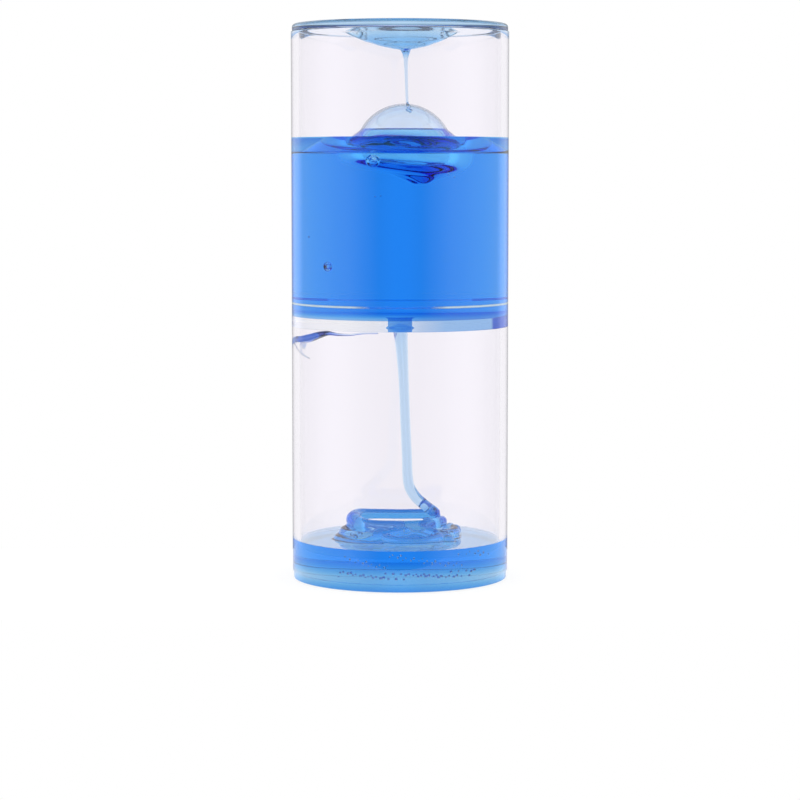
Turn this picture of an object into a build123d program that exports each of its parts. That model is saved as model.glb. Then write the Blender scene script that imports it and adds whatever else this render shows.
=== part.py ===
"""Liquid motion timer: a sealed clear vessel in which thick goo runs from the upper chamber to the lower one.

Millimetres. Z is up, the origin is the centre of the bottom face and the front faces -Y.
"""

import math
import os

from build123d import *

# Vessel
overall_height = 153.0
tube_outer_diameter = 60.0
tube_wall = 2.2
tube_edge_bevel = 0.25
cap_thickness = 2.0
cap_inset = 0.3
cap_edge_radius = 0.5
cement_film = 0.1

# Partition and the lap joint that traps it
partition_thickness = 3.0
hole_diameter = 4.4
hole_countersink = 0.5
socket_wall = 1.1
lap_length = 3.5

# Goo against the vessel
goo_gap = 0.05
landing_gap = 0.1

# Goo in the upper chamber, heights from the top of the partition
upper_level = 44.6
upper_meniscus_height = 4.4
upper_meniscus_width = 4.6
meniscus_tip = 0.25

# Bubble that stands on the goo
bubble_offset_x = 1.1
bubble_radius = 13.7
bubble_skin = 0.4
bubble_flare_start = 6.5
bubble_flare_radius = 19.5
bubble_bowl_radius = 9.5
bubble_bowl_depth = 5.5

# Goo left under the top cap, depths from the ceiling
ceiling_film_depth = 0.8
ceiling_corner_depth = 2.0
ceiling_corner_width = 2.0
ceiling_drop_radius = 18.0
ceiling_drop_depth = 5.0

# Thread from the ceiling drop to the bubble
thread_top_x = 1.6
thread_bottom_x = 2.0
thread_neck_diameter = 2.8
thread_neck_length = 1.1
thread_top_diameter = 1.15
thread_bottom_diameter = 0.75

# Stream from the hole, and the rope that it becomes
stream_top_diameter = 4.2
stream_shoulder_drop = 4.0
stream_shoulder_diameter = 3.6
stream_middle_drop = 15.6
rope_diameter = 2.8
stream_middle_x = 1.05
rope_start_x = 2.0
rope_start_z = 31.4
rope_bend_x = 2.3
rope_bend_z = 25.0
rope_bend_radius = 4.0
landing_x = 7.6
landing_y = 0.6
landing_z = 19.4

# Last turn of the rope on the pile
fold_landing_run = 2.6
fold_left_x = -13.1
fold_right_x = 11.0
fold_back_y = 5.0
fold_front_y = -4.7
fold_back_z = 16.8
fold_front_z = 14.9
fold_tail_y = 2.0
fold_tail_drop = 0.3
fold_left_radius = 4.4
fold_right_radius = 3.0
fold_entry_radius = 1.8

# Pool and mound, heights from the floor
pool_level = 9.0
pool_meniscus_height = 0.4
pool_meniscus_width = 1.2
mound_height = 11.1
mound_top_radius = 12.0
mound_foot_radius = 20.5

# Residue run on the left wall below the partition, sizes at its thick end
wall_run_depth = 5.0
wall_run_height = 3.0
wall_run_thickness = 1.3

# Sections of that run: angle from the front, then shares of the depth, height and thickness
wall_run_sections = [
    (20.0, 0.15, 0.23, 0.46),
    (34.0, 0.19, 0.33, 0.62),
    (48.0, 0.22, 0.47, 0.77),
    (62.0, 0.36, 0.6, 0.92),
    (77.0, 0.64, 0.73, 1.0),
    (92.0, 1.0, 1.0, 1.0),
]

# Heights and radii that follow from the sizes above
tube_radius = tube_outer_diameter / 2
bore_radius = tube_radius - tube_wall
socket_radius = tube_radius - socket_wall
spigot_radius = socket_radius - cement_film
cap_radius = tube_radius - cap_inset
goo_radius = bore_radius - goo_gap
hole_radius = hole_diameter / 2
seam_z = overall_height / 2
partition_top_z = seam_z - lap_length
partition_bottom_z = partition_top_z - partition_thickness
tube_end_z = cap_thickness + cement_film
floor_z = cap_thickness
ceiling_z = overall_height - floor_z
level_z = partition_top_z + upper_level
pool_z = floor_z + pool_level
mound_z = floor_z + mound_height


def turned(*edges):
    """Solid of revolution about Z from the edges of a closed profile in the XZ plane."""
    return revolve(make_face(edges), Axis.Z)


def turned_polygon(*points):
    """Solid of revolution about Z from (radius, height) corners."""
    corners = [(radius, 0, height) for radius, height in points]
    return turned(Polyline(*corners, close=True))


def path(*points):
    """Open run of straight lines through (radius, height) points of a profile."""
    return Polyline(*[(radius, 0, height) for radius, height in points])


def arc(start, middle, end):
    """Arc through three (radius, height) points of a profile."""
    return ThreePointArc(*[(radius, 0, height) for radius, height in (start, middle, end)])


def soft_step(start, end):
    """Two equal arcs, level at both ends, from one (radius, height) point to another."""
    run = end[0] - start[0]
    rise = end[1] - start[1]
    half_turn = math.atan2(abs(rise), abs(run))
    bend = math.hypot(run, rise) / (4 * math.sin(half_turn))
    across = math.copysign(bend * math.sin(half_turn), run)
    up = math.copysign(bend * (1 - math.cos(half_turn)), rise)
    middle = (start[0] + run / 2, start[1] + rise / 2)
    first = arc(start, (start[0] + across, start[1] + up), middle)
    second = arc(middle, (end[0] - across, end[1] - up), end)
    return [first, second]


def make_lower_tube():
    """Tube of the lower chamber, with the socket and ledge that take the partition."""
    return turned_polygon(
        (bore_radius, tube_end_z),
        (tube_radius - tube_edge_bevel, tube_end_z),
        (tube_radius, tube_end_z + tube_edge_bevel),
        (tube_radius, seam_z - tube_edge_bevel),
        (tube_radius - tube_edge_bevel, seam_z),
        (socket_radius, seam_z),
        (socket_radius, partition_bottom_z),
        (bore_radius, partition_bottom_z),
    )


def make_upper_tube():
    """Tube of the upper chamber, with the spigot that presses on the partition."""
    shoulder_z = seam_z + cement_film
    end_z = overall_height - tube_end_z
    return turned_polygon(
        (bore_radius, partition_top_z + cement_film),
        (spigot_radius, partition_top_z + cement_film),
        (spigot_radius, shoulder_z),
        (tube_radius - tube_edge_bevel, shoulder_z),
        (tube_radius, shoulder_z + tube_edge_bevel),
        (tube_radius, end_z - tube_edge_bevel),
        (tube_radius - tube_edge_bevel, end_z),
        (bore_radius, end_z),
    )


def make_cap():
    """Flat disc that closes the bottom of the vessel, rounded at its outer edge."""
    corner = cap_edge_radius * (1 - math.sqrt(0.5))
    return turned(
        path((0, cap_thickness), (0, 0), (cap_radius - cap_edge_radius, 0)),
        arc(
            (cap_radius - cap_edge_radius, 0),
            (cap_radius - corner, corner),
            (cap_radius, cap_edge_radius),
        ),
        path((cap_radius, cap_edge_radius), (cap_radius, cap_thickness), (0, cap_thickness)),
    )


def make_cap_seal():
    """Cement between the disc and the end of the tube."""
    outer_radius = tube_radius - max(cap_inset, tube_edge_bevel)
    return turned_polygon(
        (bore_radius, cap_thickness),
        (outer_radius, cap_thickness),
        (outer_radius, tube_end_z),
        (bore_radius, tube_end_z),
    )


def turn_over(shape):
    """The same piece at the other end of the vessel."""
    return Pos(0, 0, overall_height) * Rot(180, 0, 0) * shape


def make_partition():
    """Disc with one hole, countersunk from both faces so that it drains either way up."""
    return turned_polygon(
        (hole_radius, partition_bottom_z + hole_countersink),
        (hole_radius + hole_countersink, partition_bottom_z),
        (spigot_radius, partition_bottom_z),
        (spigot_radius, partition_top_z),
        (hole_radius + hole_countersink, partition_top_z),
        (hole_radius, partition_top_z - hole_countersink),
    )


def make_lap_seal():
    """Cement round the partition's rim, up the lap and out to the seam."""
    return turned_polygon(
        (spigot_radius, partition_bottom_z),
        (socket_radius, partition_bottom_z),
        (socket_radius, seam_z),
        (tube_radius - tube_edge_bevel, seam_z),
        (tube_radius - tube_edge_bevel, seam_z + cement_film),
        (spigot_radius, seam_z + cement_film),
        (spigot_radius, partition_top_z + cement_film),
        (bore_radius, partition_top_z + cement_film),
        (bore_radius, partition_top_z),
        (spigot_radius, partition_top_z),
    )


def make_upper_goo():
    """Goo above the partition, with the tongue in the hole, the wall meniscus and the bowl of the bubble."""
    tongue_radius = hole_radius - goo_gap
    bottom_z = partition_top_z + goo_gap
    tip_z = level_z + upper_meniscus_height
    tip_radius = goo_radius - meniscus_tip
    flat_radius = tip_radius - upper_meniscus_width
    diagonal = 1 - math.sqrt(0.5)
    sag = (flat_radius + (1 - diagonal) * upper_meniscus_width, level_z + diagonal * upper_meniscus_height)
    body = turned(
        path(
            (0, level_z),
            (0, partition_bottom_z),
            (tongue_radius, partition_bottom_z),
            (tongue_radius, bottom_z),
            (goo_radius, bottom_z),
            (goo_radius, tip_z),
            (tip_radius, tip_z),
        ),
        arc((tip_radius, tip_z), sag, (flat_radius, level_z)),
        path((flat_radius, level_z), (0, level_z)),
    )
    bowl_radius = (bubble_bowl_radius**2 + bubble_bowl_depth**2) / (2 * bubble_bowl_depth)
    bowl_centre_z = level_z - bubble_bowl_depth + bowl_radius
    return body - Pos(bubble_offset_x, 0, bowl_centre_z) * Sphere(bowl_radius)


def make_bubble_dome():
    """Skin of the bubble, thickening into a flared foot that stands on the goo."""
    inner_radius = bubble_radius - bubble_skin
    start_radius = math.sqrt(bubble_radius**2 - bubble_flare_start**2)
    half_angle = math.asin(start_radius / bubble_radius) / 2
    outer_middle = (bubble_radius * math.sin(half_angle), bubble_radius * math.cos(half_angle))
    flare_middle = (
        start_radius + 0.35 * (bubble_flare_radius - start_radius),
        0.5 * bubble_flare_start,
    )
    neck_radius = math.sqrt(inner_radius**2 - bubble_flare_start**2)
    inner_half_angle = math.asin(neck_radius / inner_radius) / 2
    inner_middle = (inner_radius * math.sin(inner_half_angle), inner_radius * math.cos(inner_half_angle))
    foot_middle = (
        bubble_bowl_radius + 0.75 * (neck_radius - bubble_bowl_radius),
        0.5 * bubble_flare_start,
    )
    dome = turned(
        arc((0, bubble_radius), outer_middle, (start_radius, bubble_flare_start)),
        arc((start_radius, bubble_flare_start), flare_middle, (bubble_flare_radius, 0)),
        path((bubble_flare_radius, 0), (bubble_bowl_radius, 0)),
        arc((bubble_bowl_radius, 0), foot_middle, (neck_radius, bubble_flare_start)),
        arc((neck_radius, bubble_flare_start), inner_middle, (0, inner_radius)),
        path((0, inner_radius), (0, bubble_radius)),
    )
    return Pos(bubble_offset_x, 0, level_z) * dome


def make_ceiling_film():
    """Goo left under the top cap: a film, a bead in the corner and a hanging drop."""
    film_z = ceiling_z - ceiling_film_depth
    corner_z = ceiling_z - ceiling_corner_depth
    inner_radius = goo_radius - ceiling_corner_width
    diagonal = 1 - math.sqrt(0.5)
    corner_rise = film_z - corner_z
    sag = (inner_radius + (1 - diagonal) * ceiling_corner_width, film_z - diagonal * corner_rise)
    return turned(
        path((0, ceiling_z - ceiling_drop_depth), (0, ceiling_z), (goo_radius, ceiling_z), (goo_radius, corner_z)),
        arc((goo_radius, corner_z), sag, (inner_radius, film_z)),
        path((inner_radius, film_z), (ceiling_drop_radius, film_z)),
        *soft_step((ceiling_drop_radius, film_z), (0, ceiling_z - ceiling_drop_depth)),
    )


def round_section(x, z, diameter):
    """Level round section of a falling run of goo."""
    return Plane(origin=(x, 0, z)) * Circle(diameter / 2)


def make_drip_thread():
    """Thread from the ceiling drop, with its neck, down to the top of the bubble."""
    top_z = ceiling_z - ceiling_drop_depth - landing_gap
    neck_z = top_z - thread_neck_length
    from_bubble = thread_bottom_x + thread_bottom_diameter / 2 - bubble_offset_x
    bottom_z = level_z + math.sqrt(bubble_radius**2 - from_bubble**2) + 2 * landing_gap
    neck = loft(
        [
            round_section(thread_top_x, top_z, thread_neck_diameter),
            round_section(thread_top_x, neck_z, thread_top_diameter),
        ]
    )
    run = loft(
        [
            round_section(thread_top_x, neck_z, thread_top_diameter),
            round_section(thread_bottom_x, bottom_z, thread_bottom_diameter),
        ]
    )
    return neck + run


def make_wall_run():
    """Bead of residue that sags along the wall below the partition."""
    sections = []
    for angle, depth_share, height_share, thickness_share in wall_run_sections:
        turn = math.radians(angle)
        depth = depth_share * wall_run_depth
        height = height_share * wall_run_height
        thickness = thickness_share * wall_run_thickness
        outward = Vector(-math.sin(turn), -math.cos(turn), 0)
        along = Vector(-math.cos(turn), math.sin(turn), 0)
        centre = outward * (goo_radius - thickness / 2) + Vector(0, 0, partition_bottom_z - depth)
        sections.append(Plane(origin=centre, x_dir=outward, z_dir=along) * Ellipse(thickness / 2, height / 2))
    return loft(sections)


def rope_points():
    """Centre line of the rope: the foot of the stream, then the fold."""
    start = Vector(rope_start_x, 0, rope_start_z)
    bend = Vector(rope_bend_x, 0, rope_bend_z)
    landing = Vector(landing_x, landing_y, landing_z)
    run_on = landing + (landing - bend).normalized() * fold_landing_run
    foot = [start, bend, landing]
    fold = [
        landing,
        run_on,
        Vector(fold_right_x, fold_back_y, fold_back_z),
        Vector(fold_left_x, fold_back_y, fold_back_z),
        Vector(fold_left_x, fold_front_y, fold_front_z),
        Vector(fold_right_x, fold_front_y, fold_front_z),
        Vector(fold_right_x, fold_tail_y, fold_front_z - fold_tail_drop),
    ]
    return foot, fold


def swept_rope(centre_line):
    """Round rope along a centre line of straight runs and bends."""
    section = Plane(origin=centre_line @ 0, z_dir=centre_line % 0) * Circle(rope_diameter / 2)
    return sweep(section, path=centre_line)


def make_goo_stream():
    """Stream that narrows from the hole and bends over to its landing on the pile."""
    top_z = partition_bottom_z - goo_gap
    fall = loft(
        [
            round_section(0, top_z, stream_top_diameter),
            round_section(stream_middle_x / 3, top_z - stream_shoulder_drop, stream_shoulder_diameter),
            round_section(stream_middle_x, top_z - stream_middle_drop, rope_diameter),
            round_section(rope_start_x, rope_start_z, rope_diameter),
        ]
    )
    start, bend, landing = rope_points()[0]
    drop = Vector(start.X, 0, start.Z - 1)
    foot_line = FilletPolyline(start, drop, bend, landing, radius=[rope_bend_radius, rope_bend_radius])
    return fall + swept_rope(foot_line)


def make_goo_fold():
    """Last turn of the rope: off the landing, along the back, round the left end and along the front."""
    fold = rope_points()[1]
    radii = [
        fold_entry_radius,
        fold_entry_radius,
        fold_left_radius,
        fold_left_radius,
        fold_right_radius,
    ]
    return swept_rope(FilletPolyline(*fold, radius=radii))


def make_lower_pool():
    """Pool on the floor, with its meniscus."""
    tip_z = pool_z + pool_meniscus_height
    tip_radius = goo_radius - meniscus_tip
    flat_radius = tip_radius - pool_meniscus_width
    diagonal = 1 - math.sqrt(0.5)
    sag = (flat_radius + (1 - diagonal) * pool_meniscus_width, pool_z + diagonal * pool_meniscus_height)
    bottom_z = floor_z + goo_gap
    return turned(
        path((0, pool_z), (0, bottom_z), (goo_radius, bottom_z), (goo_radius, tip_z), (tip_radius, tip_z)),
        arc((tip_radius, tip_z), sag, (flat_radius, pool_z)),
        path((flat_radius, pool_z), (0, pool_z)),
    )


def make_goo_mound():
    """Mound on the pool, where earlier folds have sunk together."""
    return turned(
        path((0, mound_z), (0, pool_z), (mound_foot_radius, pool_z)),
        *soft_step((mound_foot_radius, pool_z), (mound_top_radius, mound_z)),
        path((mound_top_radius, mound_z), (0, mound_z)),
    )


pieces = {
    "lower_tube": make_lower_tube(),
    "upper_tube": make_upper_tube(),
    "bottom_cap": make_cap(),
    "top_cap": turn_over(make_cap()),
    "partition": make_partition(),
    "bottom_cap_seal": make_cap_seal(),
    "top_cap_seal": turn_over(make_cap_seal()),
    "lap_joint_seal": make_lap_seal(),
    "upper_goo": make_upper_goo(),
    "bubble_dome": make_bubble_dome(),
    "ceiling_film": make_ceiling_film(),
    "drip_thread": make_drip_thread(),
    "wall_run": make_wall_run(),
    "goo_stream": make_goo_stream(),
    "goo_fold": make_goo_fold(),
    "goo_mound": make_goo_mound(),
    "lower_pool": make_lower_pool(),
}

os.makedirs("parts", exist_ok=True)
for name, shape in pieces.items():
    export_step(shape, f"parts/{name}.step")
    box = shape.bounding_box()
    print(f"{name}: {shape.volume:.1f} mm3, z {box.min.Z:.2f} to {box.max.Z:.2f}, valid {shape.is_valid}")
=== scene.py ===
import math

import bmesh
import bpy
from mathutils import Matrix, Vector


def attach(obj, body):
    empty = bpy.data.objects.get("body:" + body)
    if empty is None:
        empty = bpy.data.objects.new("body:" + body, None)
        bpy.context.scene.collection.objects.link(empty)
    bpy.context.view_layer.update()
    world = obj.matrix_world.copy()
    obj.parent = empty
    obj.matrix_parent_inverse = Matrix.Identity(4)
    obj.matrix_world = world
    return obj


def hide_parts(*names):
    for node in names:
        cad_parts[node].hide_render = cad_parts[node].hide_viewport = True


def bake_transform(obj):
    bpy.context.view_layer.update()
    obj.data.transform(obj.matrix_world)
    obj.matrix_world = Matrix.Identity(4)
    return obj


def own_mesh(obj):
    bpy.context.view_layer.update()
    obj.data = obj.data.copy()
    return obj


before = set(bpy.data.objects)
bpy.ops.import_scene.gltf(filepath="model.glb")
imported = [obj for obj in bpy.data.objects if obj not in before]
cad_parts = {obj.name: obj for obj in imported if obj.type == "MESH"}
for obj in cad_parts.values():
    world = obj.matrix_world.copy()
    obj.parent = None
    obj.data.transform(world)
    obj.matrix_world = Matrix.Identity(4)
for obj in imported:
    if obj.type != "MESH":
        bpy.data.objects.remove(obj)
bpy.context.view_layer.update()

# Lengths below are in millimetres, as in the part's source, and become metres when a mesh is made.
MM = 0.001
TURNS = 224

# Vessel
HEIGHT = 153.0
TUBE_RADIUS = 30.0
BORE_RADIUS = 27.8
WALL_RADIUS = 28.0
SOCKET_RADIUS = 28.9
CAP_RADIUS = 29.7
BASE_EDGE = 0.12
TOP_EDGE = 0.9
CAP_THICKNESS = 2.0
BEVEL = 0.06
TUBE_END = 2.1
FLOOR = 2.0
CEILING = 151.0
SEAM = 76.5
CEMENT = 0.1
PLATE_BOTTOM = 70.0
PLATE_TOP = 73.0
HOLE_RADIUS = 2.2
COUNTERSINK = 0.5

# Goo: it wets the vessel, so its skin reaches a little way into the clear parts
WET = 0.06
WELD = 0.03
GOO_RADIUS = WALL_RADIUS + WELD
LEVEL = 117.6
BUBBLE_X = 1.1
BUBBLE_RADIUS = 13.7
BUBBLE_SKIN = 0.4
FLARE_START = 6.5
FLARE_RADIUS = 20.2
BOWL_RADIUS = 12.6
FOOT_RADIUS = 13.0
POOL = 11.0
MENISCUS_TIP = LEVEL + 4.4
CEILING_CORNER = CEILING - 2.0

# Small distances: GAP parts faces that must not share a plane, NEAR and CLOSE tell which face lies where
GAP = 0.02
NEAR = 0.01
CLOSE = 0.1

# Upward share of a face's normal: a flat face has more than the first, an upright one less than the second
FLAT = 0.9
UPRIGHT = 0.3
DIAGONAL = math.sqrt(0.5)


# Mesh helpers


def arc_points(start, middle, end, count=16):
    """Points on the circle through three (radius, height) points, both ends included."""
    ax, ay = start
    bx, by = middle
    cx, cy = end
    double_area = 2 * (ax * (by - cy) + bx * (cy - ay) + cx * (ay - by))
    a_square = ax * ax + ay * ay
    b_square = bx * bx + by * by
    c_square = cx * cx + cy * cy
    ux = (a_square * (by - cy) + b_square * (cy - ay) + c_square * (ay - by)) / double_area
    uy = (a_square * (cx - bx) + b_square * (ax - cx) + c_square * (bx - ax)) / double_area
    reach = math.hypot(ax - ux, ay - uy)
    first = math.atan2(ay - uy, ax - ux)
    half = math.atan2(by - uy, bx - ux)
    last = math.atan2(cy - uy, cx - ux)

    def wrapped(angle):
        return (angle - first) % (2 * math.pi)

    sweep = wrapped(last)
    if wrapped(half) > sweep:
        sweep -= 2 * math.pi
    angles = [first + sweep * step / count for step in range(count + 1)]
    return [(ux + reach * math.cos(angle), uy + reach * math.sin(angle)) for angle in angles]


def line_points(start, end, count):
    """Evenly spaced points on a straight run, without its first point."""
    shares = [step / count for step in range(1, count + 1)]
    return [(start[0] + (end[0] - start[0]) * s, start[1] + (end[1] - start[1]) * s) for s in shares]


def smooth(share):
    """Ease from 0 to 1."""
    share = min(max(share, 0.0), 1.0)
    return share * share * (3 - 2 * share)


def lathe(profile, place=None, turns=TURNS):
    """Mesh of revolution from (radius, height) points; place(radius, angle, height) may move a point."""
    mesh = bmesh.new()
    rings = []
    for radius, height in profile:
        around = [0.0] if radius < 1e-6 else [2 * math.pi * step / turns for step in range(turns)]
        ring = []
        for angle in around:
            if place:
                point = place(radius, angle, height)
            else:
                point = (radius * math.cos(angle), radius * math.sin(angle), height)
            ring.append(mesh.verts.new(Vector(point) * MM))
        rings.append(ring)
    pairs = list(zip(rings, rings[1:]))
    if len(rings[0]) > 1 and len(rings[-1]) > 1:
        pairs.append((rings[-1], rings[0]))
    for lower, upper in pairs:
        for step in range(turns):
            after = (step + 1) % turns
            corners = [
                lower[step % len(lower)],
                lower[after % len(lower)],
                upper[after % len(upper)],
                upper[step % len(upper)],
            ]
            corners = list(dict.fromkeys(corners))
            if len(corners) > 2:
                mesh.faces.new(corners)
    bmesh.ops.recalc_face_normals(mesh, faces=mesh.faces)
    return mesh


def spline(points, per_run=10):
    """Smooth run of vectors through the given vectors (Catmull-Rom)."""
    ends = [points[0] * 2 - points[1], *points, points[-1] * 2 - points[-2]]
    run = []
    for first, second, third, fourth in zip(ends, ends[1:], ends[2:], ends[3:]):
        for step in range(per_run):
            t = step / per_run
            run.append(
                (
                    second * 2
                    + (third - first) * t
                    + (first * 2 - second * 5 + third * 4 - fourth) * t * t
                    + (second * 3 - first - third * 3 + fourth) * t * t * t
                )
                * 0.5
            )
    run.append(points[-1].copy())
    return run


def tube(mesh, stations, sides=32, per_run=10):
    """Closed round tube in an open mesh, through (x, y, z, radius) stations, with rounded ends."""
    run = spline([Vector(station) for station in stations], per_run)
    centres = [Vector(point[:3]) for point in run]
    radii = [point[3] for point in run]
    along = []
    for index in range(len(centres)):
        before = centres[max(index - 1, 0)]
        after = centres[min(index + 1, len(centres) - 1)]
        along.append((after - before).normalized())
    across = along[0].orthogonal().normalized()
    rings = []
    for centre, radius, tangent in zip(centres, radii, along):
        across = (across - tangent * across.dot(tangent)).normalized()
        upward = tangent.cross(across)
        ring = []
        for step in range(sides):
            angle = 2 * math.pi * step / sides
            offset = across * math.cos(angle) + upward * math.sin(angle)
            ring.append(mesh.verts.new((centre + offset * radius) * MM))
        rings.append(ring)
    first_tip = mesh.verts.new((centres[0] - along[0] * radii[0] * 0.5) * MM)
    last_tip = mesh.verts.new((centres[-1] + along[-1] * radii[-1] * 0.5) * MM)
    faces = []
    for step in range(sides):
        after = (step + 1) % sides
        for lower, upper in zip(rings, rings[1:]):
            faces.append(mesh.faces.new((lower[step], lower[after], upper[after], upper[step])))
        faces.append(mesh.faces.new((rings[0][after], rings[0][step], first_tip)))
        faces.append(mesh.faces.new((rings[-1][step], rings[-1][after], last_tip)))
    bmesh.ops.recalc_face_normals(mesh, faces=faces)


def ball(mesh, centre, radius, hollow=False, detail=3):
    """Small rounded bead, or a bubble when hollow, added to an open mesh."""
    made = bmesh.ops.create_icosphere(mesh, subdivisions=detail, radius=radius * MM)
    for vert in made["verts"]:
        vert.co += Vector(centre) * MM
    if hollow:
        faces = {face for vert in made["verts"] for face in vert.link_faces}
        bmesh.ops.reverse_faces(mesh, faces=list(faces))


def mark_air(data, touches):
    """Face attribute: 1 where a face meets air, 0 where it rests on another piece and bends no light."""
    values = data.attributes.new("meets_air", "FLOAT", "FACE")
    for polygon in data.polygons:
        x, y, z = polygon.center / MM
        resting = touches(math.hypot(x, y), z, x, polygon.normal) if touches else 0.0
        values.data[polygon.index].value = 1.0 - float(resting)


def mark_points(data, name, measure):
    """Vertex attribute from measure(reach, height, x), from 0 to 1."""
    values = data.attributes.new(name, "FLOAT", "POINT")
    for vert in data.vertices:
        x, y, z = vert.co / MM
        values.data[vert.index].value = measure(math.hypot(x, y), z, x)


def piece(name, mesh, material, body, slot, *nodes, sharp=40, touches=None, painted_shade_measure=None, softness=None):
    """Object from an open mesh, smooth apart from its sharp edges, riding on a body.

    The painted shade measure says how much a goo's skin is tinted a deeper blue, softness how little light
    bends on its way out of it.
    """
    data = bpy.data.meshes.new(name)
    mesh.to_mesh(data)
    mesh.free()
    data.shade_smooth()
    data.set_sharp_from_angle(angle=math.radians(sharp))
    mark_air(data, touches)
    if painted_shade_measure:
        # Painted shade: per-point share of the deeper blue skin
        mark_points(data, "painted_shade", painted_shade_measure)
    if softness:
        mark_points(data, "soft_inside", softness)
    data.materials.append(material)
    made = bpy.data.objects.new(name, data)
    bpy.context.scene.collection.objects.link(made)
    if body:
        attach(made, body)
    if nodes:
        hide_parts(*nodes)
    return made


# Materials


def nodes_of(material):
    """A material's nodes, its links and its Principled node."""
    nodes = material.node_tree.nodes
    return nodes, material.node_tree.links, nodes["Principled BSDF"]


def new_material(name):
    """Material with its nodes, its links and its Principled node."""
    material = bpy.data.materials.new(name)
    material.use_nodes = True
    return material, *nodes_of(material)


def attribute(nodes, name):
    """Value of a mesh attribute."""
    source = nodes.new("ShaderNodeAttribute")
    source.attribute_name = name
    return source.outputs["Fac"]


def object_axes(nodes, links):
    """X, Y and Z of the place on the object."""
    place = nodes.new("ShaderNodeTexCoord")
    split = nodes.new("ShaderNodeSeparateXYZ")
    links.new(place.outputs["Object"], split.inputs["Vector"])
    return split.outputs


def calculated(nodes, links, operation, *values):
    """Result of a sum on other nodes' outputs or plain numbers."""
    node = nodes.new("ShaderNodeMath")
    node.operation = operation
    for socket, value in zip(node.inputs, values):
        if isinstance(value, float):
            socket.default_value = value
        else:
            links.new(value, socket)
    return node.outputs["Value"]


def ranged(nodes, links, value, start, end, low=0.0, high=1.0):
    """Value that goes from low to high while another goes from start to end."""
    node = nodes.new("ShaderNodeMapRange")
    node.inputs["From Min"].default_value = start
    node.inputs["From Max"].default_value = end
    node.inputs["To Min"].default_value = low
    node.inputs["To Max"].default_value = high
    links.new(value, node.inputs["Value"])
    return node.outputs["Result"]


def ramped(nodes, links, value, stops):
    """Colour from (position, colour) stops."""
    ramp = nodes.new("ShaderNodeValToRGB")
    elements = ramp.color_ramp.elements
    for position, colour in stops[1:-1]:
        elements.new(position)
    for element, (position, colour) in zip(elements, stops):
        element.position = position
        element.color = (*colour, 1)
    links.new(value, ramp.inputs["Fac"])
    return ramp.outputs["Color"]


def colour_mix(nodes, links, share, colour):
    """Mix node towards a colour by a share; its A socket takes the colour it starts from."""
    mix = nodes.new("ShaderNodeMix")
    mix.data_type = "RGBA"
    mix.inputs["B"].default_value = (*colour, 1)
    links.new(share, mix.inputs["Factor"])
    return mix


def tint_base(nodes, links, shader, share, colour):
    """Mix the base colour, plain or from a node, towards another by a share."""
    base = shader.inputs["Base Color"]
    tint = colour_mix(nodes, links, share, colour)
    tint.inputs["A"].default_value = base.default_value
    for link in base.links:
        links.new(link.from_socket, tint.inputs["A"])
    links.new(tint.outputs["Result"], base)


def add_grain(nodes, links, shader, stretch, scale, roughest, bump_strength, bump_distance):
    """Fine uneven gloss and relief from stretched noise in object space."""
    place = nodes.new("ShaderNodeTexCoord")
    mapping = nodes.new("ShaderNodeMapping")
    mapping.inputs["Scale"].default_value = stretch
    links.new(place.outputs["Object"], mapping.inputs["Vector"])
    grain = nodes.new("ShaderNodeTexNoise")
    grain.inputs["Scale"].default_value = scale
    grain.inputs["Detail"].default_value = 4.0
    links.new(mapping.outputs["Vector"], grain.inputs["Vector"])
    gloss = ranged(nodes, links, grain.outputs["Fac"], 0.35, 0.7, 0.0, roughest)
    links.new(gloss, shader.inputs["Roughness"])
    bump = nodes.new("ShaderNodeBump")
    bump.inputs["Strength"].default_value = bump_strength
    bump.inputs["Distance"].default_value = bump_distance
    links.new(grain.outputs["Fac"], bump.inputs["Height"])
    links.new(bump.outputs["Normal"], shader.inputs["Normal"])


# Index of a face in contact is as good as 1, so that light goes on unbent
CONTACT_INDEX = 1.000001
ACRYLIC_INDEX = 1.49
GOO_INDEX = 1.51


def bend_at_air(nodes, links, shader, index):
    """Bend light where a face meets air, and not where it rests on goo, cement or acrylic.

    Where the goo is soft inside, light bends less on its way out.
    """
    inside = nodes.new("ShaderNodeNewGeometry").outputs["Backfacing"]
    softened = calculated(nodes, links, "MULTIPLY", attribute(nodes, "soft_inside"), inside)
    kept = calculated(nodes, links, "SUBTRACT", 1.0, softened)
    share = calculated(nodes, links, "MULTIPLY", attribute(nodes, "meets_air"), kept)
    bend = ranged(nodes, links, share, 0.0, 1.0, CONTACT_INDEX, index)
    shader.inputs["IOR"].default_value = index
    links.new(bend, shader.inputs["IOR"])


def clear_plastic(name, colour, stretch, scale):
    """Clear acrylic with faint draw lines or mould flow."""
    material, nodes, links, shader = new_material(name)
    shader.inputs["Base Color"].default_value = (*colour, 1)
    shader.inputs["Transmission Weight"].default_value = 1.0
    bend_at_air(nodes, links, shader, ACRYLIC_INDEX)
    add_grain(nodes, links, shader, stretch, scale, roughest=0.02, bump_strength=0.02, bump_distance=0.00002)
    return material


# Deeper blue painted onto the goo's skin as shade in folds, corners, menisci and hollows
PAINTED_SHADE_BLUE = (0.1, 0.44, 0.87)
GOO_DENSITY = 78.0
GOO_ABSORBED = (0.05, 0.685, 0.985)


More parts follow.
